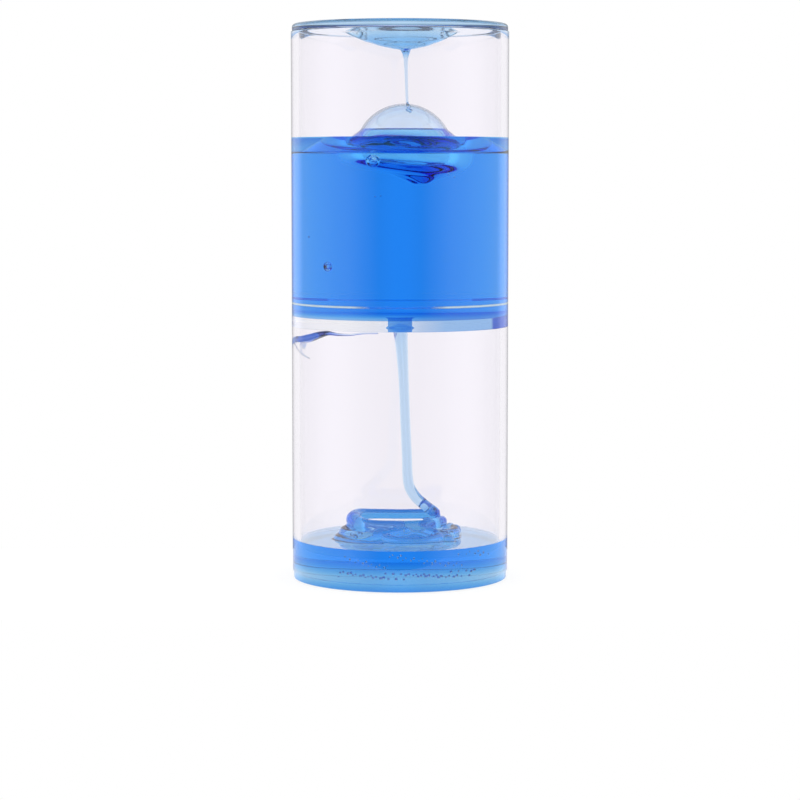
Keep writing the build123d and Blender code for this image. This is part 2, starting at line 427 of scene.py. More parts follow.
def goo_material(name, colour, painted_shade_blue=PAINTED_SHADE_BLUE):
    """Clear blue goo, coloured through its depth, with painted shade: a deeper blue skin in folds, corners
    and hollows.
    """
    material, nodes, links, shader = new_material(name)
    skin = colour_mix(nodes, links, attribute(nodes, "painted_shade"), painted_shade_blue)
    skin.inputs["A"].default_value = (*colour, 1)
    links.new(skin.outputs["Result"], shader.inputs["Base Color"])
    shader.inputs["Transmission Weight"].default_value = 1.0
    bend_at_air(nodes, links, shader, GOO_INDEX)
    stretch = (1, 1, 2.5)
    add_grain(nodes, links, shader, stretch, 90.0, roughest=0.015, bump_strength=0.05, bump_distance=0.0001)
    depth = nodes.new("ShaderNodeVolumeAbsorption")
    depth.inputs["Color"].default_value = (*GOO_ABSORBED, 1)
    depth.inputs["Density"].default_value = GOO_DENSITY
    links.new(depth.outputs["Volume"], nodes["Material Output"].inputs["Volume"])
    return material


def sided_painted_tint(material, tints):
    """Painted light and shade that change across the part, from (x, colour) stops."""
    nodes, links, shader = nodes_of(material)
    across = ranged(nodes, links, object_axes(nodes, links)["X"], -TUBE_RADIUS * MM, TUBE_RADIUS * MM)
    stops = [(0.5 + 0.5 * x / TUBE_RADIUS, colour) for x, colour in tints]
    links.new(ramped(nodes, links, across, stops), shader.inputs["Base Color"])


def tint_at_air(material, colour):
    """Tint where a face meets air; the faces that rest on another piece keep the material's own colour."""
    nodes, links, shader = nodes_of(material)
    tint_base(nodes, links, shader, attribute(nodes, "meets_air"), colour)


def painted_shade_round(material, colour):
    """Painted shade on the rounded edge of a flat cap, whose normals lean neither flat nor upright."""
    nodes, links, shader = nodes_of(material)
    facing = nodes.new("ShaderNodeNewGeometry")
    split = nodes.new("ShaderNodeSeparateXYZ")
    links.new(facing.outputs["Normal"], split.inputs["Vector"])
    lean = calculated(nodes, links, "ABSOLUTE", split.outputs["Z"])
    none = (0, 0, 0)
    full = (1, 1, 1)
    round_shade_share = ramped(nodes, links, lean, [(0.05, none), (0.3, full), (0.9, full), (0.99, none)])
    tint_base(nodes, links, shader, round_shade_share, colour)


# Height over which the painted edge shade comes in above a skin's foot
FOOT_FADE = 3.0


def painted_edge_tint(material, colour, start, end, foot=None):
    """Painted edge colour, dark for shade and pale for highlight as given, where a skin that meets air is
    seen edge on, above its foot's height if it has one.
    """
    nodes, links, shader = nodes_of(material)
    facing = nodes.new("ShaderNodeLayerWeight")
    facing.inputs["Blend"].default_value = 0.5
    edge = ranged(nodes, links, facing.outputs["Facing"], start, end)
    share = calculated(nodes, links, "MULTIPLY", edge, attribute(nodes, "meets_air"))
    if foot is not None:
        above = ranged(nodes, links, object_axes(nodes, links)["Z"], foot * MM, (foot + FOOT_FADE) * MM)
        share = calculated(nodes, links, "MULTIPLY", share, above)
    tint_base(nodes, links, shader, share, colour)


def highlight_painted_at_sides(material, clear, whitened):
    """Cement that is clear at the front and back and turns whitish towards both sides, as a painted
    highlight.
    """
    nodes, links, shader = nodes_of(material)
    aside = calculated(nodes, links, "ABSOLUTE", object_axes(nodes, links)["X"])
    clearness = ranged(nodes, links, aside, clear * MM, whitened * MM, 1.0, 0.1)
    links.new(clearness, shader.inputs["Transmission Weight"])


DRAW_LINES = (1, 1, 0.02)
EVEN_GRAIN = (1, 1, 1)
PLATE_CLEAR = (0.965, 0.97, 0.98)
# Painted light and shade for the clear plate: blue towards the right, dark blue at its right end
PLATE_PAINTED_BLUE = (0.22, 0.47, 0.85)
PLATE_PAINTED_SHADE = (0.006, 0.03, 0.45)
tube_plastic = clear_plastic("clear_tube_plastic", (0.983, 0.975, 0.993), DRAW_LINES, 700.0)
# Painted light: the clear bottom cap is coloured blue, for light that reaches it through the goo above
cap_plastic = clear_plastic("clear_cap_plastic", (0.57, 0.72, 0.84), EVEN_GRAIN, 160.0)
top_plastic = clear_plastic("clear_top_plastic", (0.96, 0.98, 1.0), EVEN_GRAIN, 160.0)
# Painted light: the clear top cap is tinted blue where it meets air, for the goo's blue seen through it
tint_at_air(top_plastic, (0.5, 0.72, 0.94))
# Painted shade: a dark line on the top cap's rounded edge
painted_shade_round(top_plastic, (0.22, 0.36, 0.5))
plate_plastic = clear_plastic("clear_plate_plastic", PLATE_CLEAR, EVEN_GRAIN, 220.0)
# Painted light and shade: the plate turns blue to the right and dark blue at its right end
sided_painted_tint(plate_plastic, [(-6.0, PLATE_CLEAR), (12.0, PLATE_PAINTED_BLUE), (24.2, PLATE_PAINTED_BLUE), (24.8, PLATE_PAINTED_SHADE)])
cement_clear = clear_plastic("clear_cement", (0.96, 0.97, 0.98), EVEN_GRAIN, 900.0)
tint_at_air(cement_clear, (0.42, 0.52, 0.68))
lap_plastic = clear_plastic("lap_cement", (0.72, 0.9, 1.0), EVEN_GRAIN, 900.0)
# Painted highlight: the lap seam turns bluish white towards both sides
highlight_painted_at_sides(lap_plastic, 8.0, 13.0)
# Painted shade: the tube darkens where it is seen edge on
painted_edge_tint(tube_plastic, (0.5, 0.53, 0.6), 0.84, 0.97)
blue_goo = goo_material("blue_goo", (1.0, 1.0, 1.0))
skin_goo = goo_material("blue_goo_skin", (0.9, 0.96, 1.0))
# Painted shade: a dark outline where the bubble's skin is seen edge on
painted_edge_tint(skin_goo, (0.02, 0.04, 0.08), 0.7, 0.88, foot=LEVEL + FOOT_FADE)
thin_goo = goo_material("blue_goo_thin", (0.74, 0.87, 1.0))
# Painted highlight: the thin goo's rims turn near white where seen edge on
painted_edge_tint(thin_goo, (0.97, 1.0, 1.0), 0.3, 0.5)
# Painted shade: the run's skin darkens to a deeper blue of its own
run_goo = goo_material("blue_goo_run", (0.85, 0.93, 1.0), painted_shade_blue=(0.06, 0.2, 0.72))


# Vessel


def turned_over(profile):
    """The same profile at the other end of the vessel."""
    return [(radius, HEIGHT - height) for radius, height in profile]


lower_tube_profile = [
    (WALL_RADIUS, TUBE_END),
    (TUBE_RADIUS - BEVEL, TUBE_END),
    (TUBE_RADIUS, TUBE_END + BEVEL),
    (TUBE_RADIUS, SEAM - BEVEL),
    (TUBE_RADIUS - BEVEL, SEAM),
    (SOCKET_RADIUS, SEAM),
    (SOCKET_RADIUS, PLATE_BOTTOM + WELD),
    (WALL_RADIUS, PLATE_BOTTOM + WELD),
]
upper_tube_profile = [
    (WALL_RADIUS, PLATE_TOP - WELD),
    (SOCKET_RADIUS + WELD, PLATE_TOP - WELD),
    (SOCKET_RADIUS + WELD, SEAM + CEMENT),
    (TUBE_RADIUS - BEVEL, SEAM + CEMENT),
    (TUBE_RADIUS, SEAM + CEMENT + BEVEL),
    (TUBE_RADIUS, HEIGHT - TUBE_END - BEVEL),
    (TUBE_RADIUS - BEVEL, HEIGHT - TUBE_END),
    (WALL_RADIUS, HEIGHT - TUBE_END),
]

# The bore's skin is a piece of its own where no goo wets it, so that its wet end follows the level
SKIN_RADIUS = WALL_RADIUS + 0.05
lower_skin_profile = [
    (BORE_RADIUS, POOL),
    (BORE_RADIUS, PLATE_BOTTOM + WELD),
    (SKIN_RADIUS, PLATE_BOTTOM + WELD),
    (SKIN_RADIUS, POOL),
]
upper_skin_profile = [
    (BORE_RADIUS, MENISCUS_TIP + GAP),
    (BORE_RADIUS, CEILING_CORNER),
    *line_points((BORE_RADIUS, CEILING_CORNER), (BORE_RADIUS, HEIGHT - TUBE_END), 10),
    (SKIN_RADIUS, HEIGHT - TUBE_END),
    (SKIN_RADIUS, MENISCUS_TIP + GAP),
]


def cap_profile(edge):
    """Disc on the ground with its lower edge rounded; rings beside the round keep the flat faces flat."""
    edge_low = edge * (1 - DIAGONAL)
    beside = 0.06
    return [
        (0, 0),
        (CAP_RADIUS - edge - beside, 0),
        *arc_points((CAP_RADIUS - edge, 0), (CAP_RADIUS - edge_low, edge_low), (CAP_RADIUS, edge), 8),
        (CAP_RADIUS, edge + beside),
        (CAP_RADIUS, CAP_THICKNESS),
        (BORE_RADIUS, CAP_THICKNESS),
        (0, CAP_THICKNESS),
    ]


plate_profile = [
    (HOLE_RADIUS, PLATE_BOTTOM + COUNTERSINK),
    (HOLE_RADIUS + COUNTERSINK, PLATE_BOTTOM),
    (BORE_RADIUS, PLATE_BOTTOM),
    (SOCKET_RADIUS + WELD, PLATE_BOTTOM),
    (SOCKET_RADIUS + WELD, PLATE_TOP),
    (HOLE_RADIUS + COUNTERSINK, PLATE_TOP),
    (HOLE_RADIUS, PLATE_TOP - COUNTERSINK),
]


def lower_tube_touches(reach, height, x, normal):
    """Bore, both cemented ends, and the socket with its ledge."""
    at_ends = abs(normal.z) > FLAT and reach < TUBE_RADIUS - BEVEL
    return reach < SOCKET_RADIUS + CLOSE or at_ends


def upper_tube_touches(reach, height, x, normal):
    """Bore, both cemented ends, and the spigot's side."""
    at_ends = abs(normal.z) > FLAT and reach < TUBE_RADIUS - BEVEL and height > PLATE_TOP
    in_socket = reach < SOCKET_RADIUS + 2 * CLOSE and height < SEAM
    return reach < WALL_RADIUS + CLOSE or at_ends or in_socket


def corner_bead(side):
    """Depth of the bead in the ceiling's corner: full at the left and right, slight elsewhere."""
    slight = 0.12
    narrowness = 24
    return (CEILING - CEILING_CORNER) * (slight + (1 - slight) * side**narrowness)


# Faces that reach farther than this are not on the bore
PAST_BORE = BORE_RADIUS + 0.05


def skin_touches(reach, height, x, normal):
    """All but the inner face, and that too beside the bead in the ceiling's corner."""
    return reach > PAST_BORE or height > CEILING - corner_bead(abs(x) / reach)


def cap_touches(reach, height, x, normal):
    """Inner face, on goo and cement."""
    return abs(height - HEIGHT / 2) < HEIGHT / 2 - CAP_THICKNESS + NEAR


def plate_touches(reach, height, x, normal):
    """Top, hole and rim; the lower face only where it rests on the ledge."""
    return height > PLATE_BOTTOM + NEAR or reach > BORE_RADIUS or reach < HOLE_RADIUS + COUNTERSINK


def acrylic(name, mesh, material, node, touches):
    """Clear piece of the vessel."""
    piece(name, mesh, material, "vessel", "acrylic", node, touches=touches)


def bore_skin(name, profile):
    """Inner face of a tube, which rides on no single body."""
    return piece(name, lathe(profile), tube_plastic, None, "acrylic", touches=skin_touches)


acrylic("lower_tube_clear", lathe(lower_tube_profile), tube_plastic, "lower_tube", lower_tube_touches)
acrylic("upper_tube_clear", lathe(upper_tube_profile), tube_plastic, "upper_tube", upper_tube_touches)
lower_skin = bore_skin("lower_tube_bore", lower_skin_profile)
upper_skin = bore_skin("upper_tube_bore", upper_skin_profile)
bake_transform(lower_skin)
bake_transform(upper_skin)
acrylic("bottom_cap_clear", lathe(cap_profile(BASE_EDGE)), cap_plastic, "bottom_cap", cap_touches)
acrylic("top_cap_clear", lathe(turned_over(cap_profile(TOP_EDGE))), top_plastic, "top_cap", cap_touches)
acrylic("partition_clear", lathe(plate_profile), plate_plastic, "partition", plate_touches)

# Cement: the beads keep clear of the faces they join, so that each seam shows as a fine line
SLACK = 0.02
BEAD = 0.24
BEAD_RADIUS = SOCKET_RADIUS + 0.5
cap_seal_profile = [
    (BORE_RADIUS + SLACK, CAP_THICKNESS + SLACK),
    (CAP_RADIUS - SLACK, CAP_THICKNESS - SLACK),
    (TUBE_RADIUS - BEVEL, TUBE_END + SLACK),
    (BORE_RADIUS + SLACK, TUBE_END - SLACK),
]
lap_seal_profile = [
    (SOCKET_RADIUS + 2 * WELD, SEAM + SLACK),
    (BEAD_RADIUS, SEAM - SLACK),
    (TUBE_RADIUS - SLACK, SEAM - BEAD),
    (TUBE_RADIUS - SLACK, SEAM + CEMENT + BEAD),
    (BEAD_RADIUS, SEAM + CEMENT + SLACK),
    (SOCKET_RADIUS + 2 * WELD, SEAM + CEMENT - SLACK),
]


def seal_touches(reach, height, x, normal):
    """All but the outer edge."""
    return abs(normal.z) > UPRIGHT or reach < SOCKET_RADIUS + CLOSE


def cement(name, profile, material, node):
    """Cement in one of the vessel's joints."""
    piece(name, lathe(profile), material, "vessel", "cement", node, sharp=30, touches=seal_touches)


cement("bottom_cement", cap_seal_profile, cement_clear, "bottom_cap_seal")
cement("top_cement", turned_over(cap_seal_profile), cement_clear, "top_cap_seal")
cement("lap_cement", lap_seal_profile, lap_plastic, "lap_joint_seal")

# Goo in the upper chamber: its bowl under the bubble is rounded, tilted, rippled, and has a tail
TIP_RADIUS = BORE_RADIUS - 0.1
SURFACE = LEVEL - GAP
FLAT_RADIUS = 22.9
BOWL_DEPTH = 7.4
BOWL_FLOOR = LEVEL - BOWL_DEPTH
BOWL_ROUND = 0.72
BOWL_TILT = 0.22
BOWL_STEPS = 80
TAIL_X = 3.8
TAIL_Y = -1.0
TAIL_WIDTH = 2.5
TAIL_DEPTH = 2.4
RIPPLE_HEIGHT = 0.2
RIPPLE_LENGTH = 3.2
RIPPLE_REACH = 5
OFFSET_START = 80
OFFSET_RUN = 20
bowl_run = []
for step in range(1, BOWL_STEPS):
    turn = math.pi / 2 * step / BOWL_STEPS
    bowl_reach = BOWL_RADIUS * math.cos(turn) ** BOWL_ROUND
    bowl_run.append((bowl_reach, LEVEL - BOWL_DEPTH * math.sin(turn) ** BOWL_ROUND))
upper_goo_profile = [
    (0, PLATE_BOTTOM),
    (HOLE_RADIUS + COUNTERSINK, PLATE_BOTTOM),
    (HOLE_RADIUS + WET, PLATE_BOTTOM + COUNTERSINK),
    (HOLE_RADIUS + WET, PLATE_TOP - COUNTERSINK),
    (HOLE_RADIUS + COUNTERSINK, PLATE_TOP - WET),
    *line_points((HOLE_RADIUS + COUNTERSINK, PLATE_TOP - WET), (GOO_RADIUS, PLATE_TOP - WET), 12),
    *line_points((GOO_RADIUS, PLATE_TOP - WET), (GOO_RADIUS, SURFACE), 60),
    *line_points((GOO_RADIUS, SURFACE), (FLAT_RADIUS, SURFACE), 6),
    *line_points((FLAT_RADIUS, SURFACE), (FLARE_RADIUS, SURFACE), 6),
    *line_points((FLARE_RADIUS, SURFACE), (FOOT_RADIUS, SURFACE), 12),
    (BOWL_RADIUS, SURFACE),
    *bowl_run,
    (0, BOWL_FLOOR),
]


def upper_goo_place(radius, angle, height):
    """Centre the bowl under the bubble and make its floor uneven."""
    near_bowl = 1 - smooth((radius - FLARE_RADIUS) / (FLAT_RADIUS - FLARE_RADIUS))
    offset = BUBBLE_X * near_bowl * smooth((height - OFFSET_START) / OFFSET_RUN)
    x = radius * math.cos(angle) + offset
    y = radius * math.sin(angle)
    if height > BOWL_FLOOR - CLOSE and radius < BOWL_RADIUS:
        tilt = 1 - BOWL_TILT + BOWL_TILT * math.cos(angle) * radius / BOWL_RADIUS
        height = LEVEL - (LEVEL - height) * tilt
        tail = math.exp(-((x - TAIL_X) ** 2 + (y - TAIL_Y) ** 2) / (2 * TAIL_WIDTH**2))
        height -= TAIL_DEPTH * tail * smooth((BOWL_RADIUS - radius) / 2)
        ripple = RIPPLE_HEIGHT * math.cos(2 * math.pi * radius / RIPPLE_LENGTH)
        height += ripple * math.exp(-((radius / RIPPLE_REACH) ** 2))
    return (x, y, height)


upper_goo_mesh = lathe(upper_goo_profile, upper_goo_place)

# Bubbles in that goo, as (x, y, z, radius)
upper_bubbles = [
    (-18.3, -18.6, 87.2, 1.35),
    (-6.2, -16.0, 115.5, 1.75),
    (11.0, -14.0, 112.0, 0.35),
    (12.3, -13.0, 111.2, 0.25),
    (-22.6, -12.0, 95.0, 0.3),
    (-6.0, -20.0, 106.0, 0.22),
    (-4.6, -20.0, 106.2, 0.2),
]
for x, y, z, size in upper_bubbles:
    ball(upper_goo_mesh, (x, y, z), size, hollow=True)


def upper_goo_touches(reach, height, x, normal):
    """Wall, plate and hole, and the rings under the bubble's foot and under the raised edge."""
    at_wall = reach > BORE_RADIUS - CLOSE and abs(normal.z) < UPRIGHT
    at_plate = height < PLATE_TOP + NEAR
    from_bubble = math.hypot(x - BUBBLE_X, math.sqrt(max(reach**2 - x**2, 0)))
    at_surface = abs(height - SURFACE) < NEAR
    under_foot = at_surface and FOOT_RADIUS < from_bubble < FLARE_RADIUS
    under_edge = at_surface and reach > FLAT_RADIUS
    return at_wall or at_plate or under_foot or under_edge


def upper_goo_softness(reach, height, x):
    """The thin goo up the meniscus."""
    return smooth((reach - FLARE_RADIUS) / 5.5) if height > LEVEL - 1 else 0.0


def upper_goo_painted_shade(reach, height, x):
    """Painted shade: a deeper blue skin in the hole and towards the meniscus."""
    in_hole = 0.8
    at_meniscus = 0.85
    if height < PLATE_TOP:
        return in_hole
    if height < LEVEL - 0.5 or reach > FLAT_RADIUS + CLOSE:
        return 0.0
    return at_meniscus * smooth((reach - FLARE_RADIUS) / 6)


upper_goo = piece(
    "upper_goo_body",
    upper_goo_mesh,
    blue_goo,
    "vessel",
    "goo",
    "upper_goo",
    sharp=50,
    touches=upper_goo_touches,
    painted_shade_measure=upper_goo_painted_shade,
    softness=upper_goo_softness,
)
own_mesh(upper_goo)

# Raised edge of that goo, which keeps its shape as the level falls
EDGE_RADIUS = WALL_RADIUS - 0.01
ON_LEVEL = LEVEL + 0.005
meniscus_middle = (
    FLAT_RADIUS + DIAGONAL * (TIP_RADIUS - FLAT_RADIUS),
    LEVEL + (1 - DIAGONAL) * (MENISCUS_TIP - LEVEL),
)
edge_profile = [
    (FLAT_RADIUS, LEVEL),
    *line_points((FLAT_RADIUS, LEVEL), (EDGE_RADIUS, LEVEL), 6),
    (EDGE_RADIUS, MENISCUS_TIP),
    (BORE_RADIUS, MENISCUS_TIP),
    *arc_points((TIP_RADIUS, MENISCUS_TIP), meniscus_middle, (FLAT_RADIUS, LEVEL + GAP), 24),
]


def edge_place(radius, angle, height):
    """Make the free surface uneven, with crests only."""
    if height > LEVEL + NEAR:
        share = smooth((radius - FLAT_RADIUS) / 2) * smooth((TIP_RADIUS - radius) / 2)
        wave = 0.35 * math.sin(3 * angle + 0.6)
        wave += 0.22 * math.sin(5 * angle + 2.1)
        wave += 0.1 * math.sin(11 * angle)
        crest = 0.5 * (wave + math.hypot(wave, 0.1))
        height += share * crest
    return (radius * math.cos(angle), radius * math.sin(angle), height)


def edge_touches(reach, height, x, normal):
    """Underside and wall."""
    return height < ON_LEVEL or reach > PAST_BORE


def edge_painted_shade(reach, height, x):
    """Painted shade: a deeper blue skin towards the wall."""
    return smooth((reach - FLARE_RADIUS) / 5) if height > LEVEL + NEAR else 0.0


piece(
    "upper_goo_edge",
    lathe(edge_profile, edge_place),
    blue_goo,
    "bubble",
    "goo",
    sharp=50,
    touches=edge_touches,
    painted_shade_measure=edge_painted_shade,
    softness=upper_goo_softness,
)

# Bubble that stands on the goo: a round dome whose foot bows outward, inside and outside
FOOT_BOW = 0.25
FLARE_BOW = 0.52
inner_radius = BUBBLE_RADIUS - BUBBLE_SKIN
neck_radius = math.sqrt(inner_radius**2 - FLARE_START**2)
inner_half_turn = math.asin(neck_radius / inner_radius) / 2
foot_middle = (FOOT_RADIUS + FOOT_BOW * (neck_radius - FOOT_RADIUS), 0.5 * FLARE_START)
flare_top_radius = math.sqrt(BUBBLE_RADIUS**2 - FLARE_START**2)
half_turn = math.asin(flare_top_radius / BUBBLE_RADIUS) / 2
flare_middle = (flare_top_radius + FLARE_BOW * (FLARE_RADIUS - flare_top_radius), 0.5 * FLARE_START)
dome_profile = [
    *arc_points(
        (0, BUBBLE_RADIUS),
        (BUBBLE_RADIUS * math.sin(half_turn), BUBBLE_RADIUS * math.cos(half_turn)),
        (flare_top_radius, FLARE_START),
        40,
    ),
    *arc_points((flare_top_radius, FLARE_START), flare_middle, (FLARE_RADIUS, 0), 20)[1:],
    *arc_points((FOOT_RADIUS, 0), foot_middle, (neck_radius, FLARE_START), 20),
    *arc_points(
        (neck_radius, FLARE_START),
        (inner_radius * math.sin(inner_half_turn), inner_radius * math.cos(inner_half_turn)),
        (0, inner_radius),
        40,
    )[1:],
]


def dome_place(radius, angle, height):
    """Stand the bubble on the level."""
    return (radius * math.cos(angle) + BUBBLE_X, radius * math.sin(angle), height + LEVEL)


dome_mesh = lathe(dome_profile, dome_place)


def dome_touches(reach, height, x, normal):
    """Foot, on the goo."""
    return height < ON_LEVEL


piece("bubble_skin", dome_mesh, skin_goo, "bubble", "goo_film", "bubble_dome", sharp=50, touches=dome_touches)

# Goo left under the top cap: a film, a bead in its corner and a hanging drop
CEILING_FILM = CEILING - 0.16
CORNER_WIDTH = 2.0
CORNER_TIP = BORE_RADIUS - 0.05
DROP_RADIUS = 16.0
DROP_BOTTOM = CEILING - 5.0
DROP_X = 1.2
DROP_ROUND = 1.7
DROP_FRONT = 0.35
DROP_RIPPLE = 0.03
DROP_STEPS = 40
THREAD_X = 1.55
THREAD_ROOT = 2.2
corner_radius = BORE_RADIUS - CORNER_WIDTH
corner_middle = (
    corner_radius + DIAGONAL * CORNER_WIDTH,
    CEILING_FILM - (1 - DIAGONAL) * (CEILING_FILM - CEILING_CORNER),
)
drop_run = []
for step in range(1, DROP_STEPS + 1):
    share = step / DROP_STEPS
    rise = (1 - share) ** DROP_ROUND
    drop_run.append((DROP_RADIUS * (1 - share), DROP_BOTTOM + rise * (CEILING_FILM - DROP_BOTTOM)))
ceiling_profile = [
    (0, CEILING + WET),
    (GOO_RADIUS, CEILING + WET),
    (GOO_RADIUS, CEILING_CORNER),
    *arc_points((CORNER_TIP, CEILING_CORNER), corner_middle, (corner_radius, CEILING_FILM), 16),
    *line_points((corner_radius, CEILING_FILM), (DROP_RADIUS, CEILING_FILM), 12),
    *drop_run,
]


def ceiling_place(radius, angle, height):
    """Hang the drop off centre, steeper at the front, with the bead in the corner deepest at both sides."""
    offset = DROP_X * (1 - smooth(radius / corner_radius))
    if height < CEILING - CLOSE and radius < DROP_RADIUS:
        ripple = DROP_RIPPLE * math.cos(radius * 1.5)
        height += ripple * smooth((DROP_RADIUS - radius) / 5) * smooth((radius - 2) / 3)
    if height < CEILING_FILM - NEAR and radius > corner_radius:
        bead = (CEILING_FILM - height) * corner_bead(abs(math.cos(angle)))
        height = CEILING_FILM - bead / corner_bead(1)
    y = radius * math.sin(angle)
    if y < 0:
        y *= DROP_FRONT + (1 - DROP_FRONT) * smooth((radius - DROP_RADIUS) / (corner_radius - DROP_RADIUS))
    return (radius * math.cos(angle) + offset, y, height)


def ceiling_touches(reach, height, x, normal):
    """Cap, wall, corner, and the tip where the thread leaves; the drop's sides bend light less."""
    at_wall = reach > BORE_RADIUS - CLOSE and abs(normal.z) < UPRIGHT
    at_tip = height < DROP_BOTTOM + 2 * CLOSE and math.hypot(x - THREAD_X, reach) < THREAD_ROOT
    if height > CEILING or at_wall or at_tip or reach > corner_radius:
        return 1.0
    sides = 0.8 * smooth((abs(x - DROP_X) - 9) / 4)
    return sides * smooth((CEILING_FILM - height) / 0.3)


def ceiling_painted_shade(reach, height, x):
    """Painted shade: a deeper blue skin in the drop and in the corner."""
    if height > CEILING:
        return 0.0
    at_corner = smooth((reach - corner_radius) / CORNER_WIDTH) * smooth((CEILING_FILM - height) / 0.6)
    in_drop = smooth((CEILING_FILM - height) / 2) if reach < DROP_RADIUS + 2 else 0.0
    return max(0.8 * at_corner, 0.4 * in_drop)


ceiling_mesh = lathe(ceiling_profile, ceiling_place)
piece(
    "ceiling_goo",
    ceiling_mesh,
    blue_goo,
    "vessel",
    "goo_film",
    "ceiling_film",
    sharp=50,
    touches=ceiling_touches,
    painted_shade_measure=ceiling_painted_shade,
)

# Thread from the ceiling to the bubble, through (x, y, z, radius) stations
thread_mesh = bmesh.new()
thread_stations = [
    (THREAD_X, 0, 146.4, 1.7),
    (1.6, 0, 145.5, 1.2),
    (1.6, 0, 144.4, 0.8),
    (1.62, 0, 143.2, 0.62),
    (1.7, 0, 140.0, 0.5),
    (1.85, 0, 135.0, 0.42),
    (2.0, -0.2, 131.6, 0.4),
    (2.1, -2.4, 131.2, 0.36),
    (2.6, -5.0, 130.3, 0.34),
    (2.0, -6.6, 129.5, 0.5),
    (2.9, -7.4, 129.0, 0.62),
]
tube(thread_mesh, thread_stations)
thread = piece("drip_thread_run", thread_mesh, thin_goo, None, "goo_film", "drip_thread", sharp=60)
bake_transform(thread)

# Residue on the left wall below the partition: a bead and a thin lobe, sunk a little into the wall
BEAD_STANDS = 0.7


def along_bore(rows):
    """Stations on the bore from rows of degrees from the front, depth below the plate, and radius."""
    stations = []
    for angle, depth, size in rows:
        turn = math.radians(angle)
        reach = BORE_RADIUS - size * BEAD_STANDS
        stations.append((-reach * math.sin(turn), -reach * math.cos(turn), PLATE_BOTTOM - depth, size))
    return stations


run_rows = [
    (12, 0.3, 0.18),
    (21, 0.45, 0.22),
    (28, 0.9, 0.28),
    (36, 0.95, 0.38),
    (43, 0.75, 0.6),
    (50, 1.3, 0.9),
    (58, 2.2, 1.1),
    (67, 2.9, 1.15),
    (76, 3.3, 1.15),
    (85, 4.2, 1.15),
    (93, 5.9, 0.7),
]
lobe_rows = [(80, 4.2, 0.3), (75, 5.4, 0.24), (69, 6.6, 0.2), (64, 7.4, 0.18), (59, 7.9, 0.15)]
run_mesh = bmesh.new()
tube(run_mesh, along_bore(run_rows))
tube(run_mesh, along_bore(lobe_rows))


def run_painted_shade(reach, height, x):
    """Painted shade: deepest blue in the thick of the run, at the wall's far left, and clear in the lobe
    below it.
    """
    clear_depth = 5.4
    return smooth((-12 - x) / 9) * smooth((height - PLATE_BOTTOM + clear_depth) / 0.8)


piece("wall_run_bead", run_mesh, run_goo, "vessel", "goo_film", "wall_run", sharp=60, painted_shade_measure=run_painted_shade)

# Stream from the hole, through (x, y, z, radius) stations
stream_mesh = bmesh.new()
stream_stations = [
    (0.0, 0, 70.3, 2.15),
    (0.1, 0, 68.5, 2.0),
    (0.35, 0, 66.0, 1.8),
    (0.7, 0, 61.0, 1.6),
    (1.05, 0, 54.4, 1.42),
    (1.5, 0, 43.0, 1.4),
    (1.95, 0, 33.0, 1.42),
    (2.1, 0, 28.5, 1.45),
    (2.6, 0.05, 25.2, 1.48),
    (4.2, 0.2, 22.4, 1.5),
    (6.3, 0.45, 20.4, 1.5),
    (7.9, 0.65, 19.1, 1.48),
]
tube(stream_mesh, stream_stations)


def stream_touches(reach, height, x, normal):
    """Root, in the hole."""
    return height > PLATE_BOTTOM


stream = piece(
    "goo_stream_run", stream_mesh, thin_goo, "vessel", "goo", "goo_stream", sharp=60, touches=stream_touches
)
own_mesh(stream)


# Small bubbles near the front of the pool, in two loose rows
def bubble_row(count, starts, left, width, low, band, smallest, growth):
    """Evenly scattered (x, z, radius), each of the three stepping by a share of its own."""
    row = []
    for index in range(count):
        spread = (index * 0.618034 + starts[0]) % 1.0
        lift = (index * 0.754878 + starts[1]) % 1.0
        jitter = (index * 0.569840) % 1.0
        row.append((left + width * spread, low + band * lift, smallest + growth * jitter))
    return row


ROW_LIMIT = 5.6
BUBBLE_INSET = 0.35
BUBBLE_ROOM = 1.3
lower_row = bubble_row(46, (0.0, 0.0), left=-16, width=36, low=3.3, band=1.7, smallest=0.24, growth=0.18)
upper_row = bubble_row(40, (0.31, 0.17), left=-15, width=38, low=6.4, band=3.6, smallest=0.14, growth=0.2)

# Goo in the lower chamber: pool, sunken folds and the last fold, run together into one skin
MOUND_RADIUS = 17.5
MOUND_BOTTOM = 9.0
MOUND_EDGE = 10.6
MOUND_RISE = 2.0
MOUND_Y = -1.5
MOUND_FLATTENED = 0.72
pool_profile = [
    (0, FLOOR - WET),
    (GOO_RADIUS, FLOOR - WET),
    (GOO_RADIUS, POOL),
    (0, POOL),
]
lower_mesh = lathe(pool_profile)


def mound_place(radius, angle, height):
    """Oval, uneven outline of the mound."""
    wave = 1 + 0.05 * math.sin(3 * angle + 1.0) + 0.04 * math.sin(5 * angle)
    y = radius * wave * MOUND_FLATTENED * math.sin(angle) + MOUND_Y
    return (radius * wave * math.cos(angle), y, height)


mound_run = []
for step in range(25):
    mound_reach = MOUND_RADIUS - MOUND_RADIUS * step / 24
    mound_run.append((mound_reach, MOUND_EDGE + MOUND_RISE * smooth(step / 16)))
mound_profile = [(0, MOUND_BOTTOM), (MOUND_RADIUS, MOUND_BOTTOM), *mound_run]
mound_mesh = lathe(mound_profile, mound_place)

